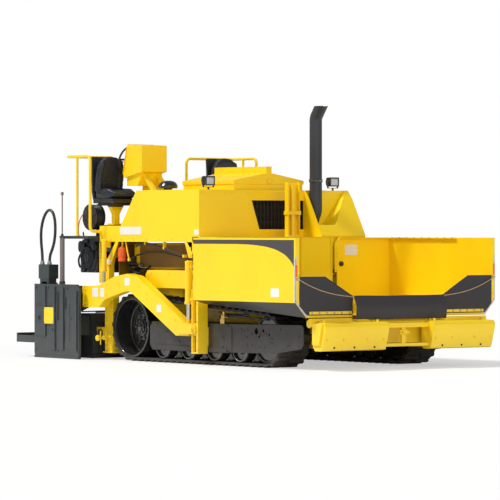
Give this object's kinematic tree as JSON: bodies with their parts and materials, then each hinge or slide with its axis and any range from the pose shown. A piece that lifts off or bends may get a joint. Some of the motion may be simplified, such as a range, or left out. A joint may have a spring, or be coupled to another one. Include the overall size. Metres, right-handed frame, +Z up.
{
  "type": "tracked asphalt paver",
  "caption": "Tracked asphalt paver with a folding two-wing hopper, slat conveyor, rear augers and an extending screed on tow arms.",
  "frame": {"origin": "on the ground under the middle of the machine's length and width", "axes": "+X forward, towards the hopper; +Y left; +Z up"},
  "size_m": [6.95, 3.3, 3.46],
  "materials": {
    "yellow_paint": "gloss",
    "dark_paint": "satin",
    "guard_paint": "satin",
    "rubber": "matte",
    "black_plastic": "satin",
    "steel": "brushed",
    "rope": "matte",
    "cushion": "satin"
  },
  "bodies": {
    "chassis": {"auger_case": "dark_paint", "centre_flap": "rubber", "console": "yellow_paint", "conveyor": "steel", "cylinder_barrels": "yellow_paint", "drive_wheels": "guard_paint", "engine_block": "steel", "exhaust": "guard_paint", "fenders": "yellow_paint", "final_drives": "guard_paint", "flap_carrier": "yellow_paint", "floor_mat": "rubber", "front_tank": "yellow_paint", "gate_post": "yellow_paint", "generator": "dark_paint", "grille": "dark_paint", "handrails": "yellow_paint", "hood": "yellow_paint", "hopper_back": "yellow_paint", "hose_reel": "dark_paint", "idlers": "guard_paint", "intake_cap": "black_plastic", "main_frame": "yellow_paint", "nose_cover": "yellow_paint", "platform": "yellow_paint", "push_bumper": "yellow_paint", "rear_frame": "yellow_paint", "rear_shelf": "dark_paint", "road_rollers": "guard_paint", "seat_frames": "yellow_paint", "seat_pads": "cushion", "side_tanks": "yellow_paint", "tow_guides": "yellow_paint", "track_belt_left": "rubber", "track_belt_right": "rubber", "track_frames": "guard_paint", "track_guards": "guard_paint", "work_lamps": "black_plastic"},
    "hopper_left": {"hopper_wing_left": "yellow_paint", "wing_flap_left": "rubber", "flap_rope_left": "rope"},
    "hopper_right": {"hopper_wing_right": "yellow_paint", "wing_flap_right": "rubber", "flap_rope_right": "rope"},
    "lid": {"engine_lid": "yellow_paint"},
    "auger_body_left": {"auger_left": "steel"},
    "auger_body_right": {"auger_right": "steel"},
    "tow_points": {"tow_carriages": "yellow_paint"},
    "screed": {"tow_arms": "yellow_paint", "screed_main": "dark_paint", "depth_screws": "dark_paint"},
    "extension_body_left": {"screed_extension_left": "dark_paint", "end_gate_left": "dark_paint", "screed_hose_left": "rubber"},
    "extension_body_right": {"screed_extension_right": "dark_paint", "end_gate_right": "dark_paint", "screed_hose_right": "rubber"},
    "lift_rod_body": {"lift_rods": "steel"},
    "steering": {"steering_wheel": "black_plastic"}
  },
  "joints": [
    {"name": "hopper_left_hinge", "type": "hinge", "parent": "chassis", "child": "hopper_left", "pos_m": [2.075, 0.735, 0.64], "axis": [1, 0, 0], "range_deg": [0, 42]},
    {"name": "hopper_right_hinge", "type": "hinge", "parent": "chassis", "child": "hopper_right", "pos_m": [2.075, -0.735, 0.64], "axis": [-1, 0, 0], "range_deg": [0, 42]},
    {"name": "engine_lid_hinge", "type": "hinge", "parent": "chassis", "child": "lid", "pos_m": [-0.781, 0, 2.4], "axis": [0, -1, 0], "range_deg": [0, 50]},
    {"name": "auger_left_spin", "type": "hinge", "parent": "chassis", "child": "auger_body_left", "pos_m": [-1.775, 0.6, 0.36], "axis": [0, 1, 0], "continuous": true},
    {"name": "auger_right_spin", "type": "hinge", "parent": "chassis", "child": "auger_body_right", "pos_m": [-1.775, -0.6, 0.36], "axis": [0, 1, 0], "continuous": true},
    {"name": "tow_point_slide", "type": "slide", "parent": "chassis", "child": "tow_points", "axis": [0, 0, 1], "range_m": [0, 0.15]},
    {"name": "screed_lift", "type": "hinge", "parent": "tow_points", "child": "screed", "pos_m": [0.775, 0, 0.47], "axis": [0, 1, 0], "range_deg": [0, 7]},
    {"name": "extension_left_slide", "type": "slide", "parent": "screed", "child": "extension_body_left", "axis": [0, 1, 0], "range_m": [0, 1]},
    {"name": "extension_right_slide", "type": "slide", "parent": "screed", "child": "extension_body_right", "axis": [0, -1, 0], "range_m": [0, 1]},
    {"name": "lift_rod_slide", "type": "slide", "parent": "chassis", "child": "lift_rod_body", "axis": [0, 0, 1], "range_m": [0, 0.3]},
    {"name": "steering_wheel_turn", "type": "hinge", "parent": "chassis", "child": "steering", "pos_m": [-1.625, -0.84, 2.755], "axis": [-0.9511, 0, 0.309], "continuous": true}
  ],
  "couplings": [
    {"joint": "lift_rod_slide", "follows": "screed_lift", "m_per_rad": 2.35}
  ]
}
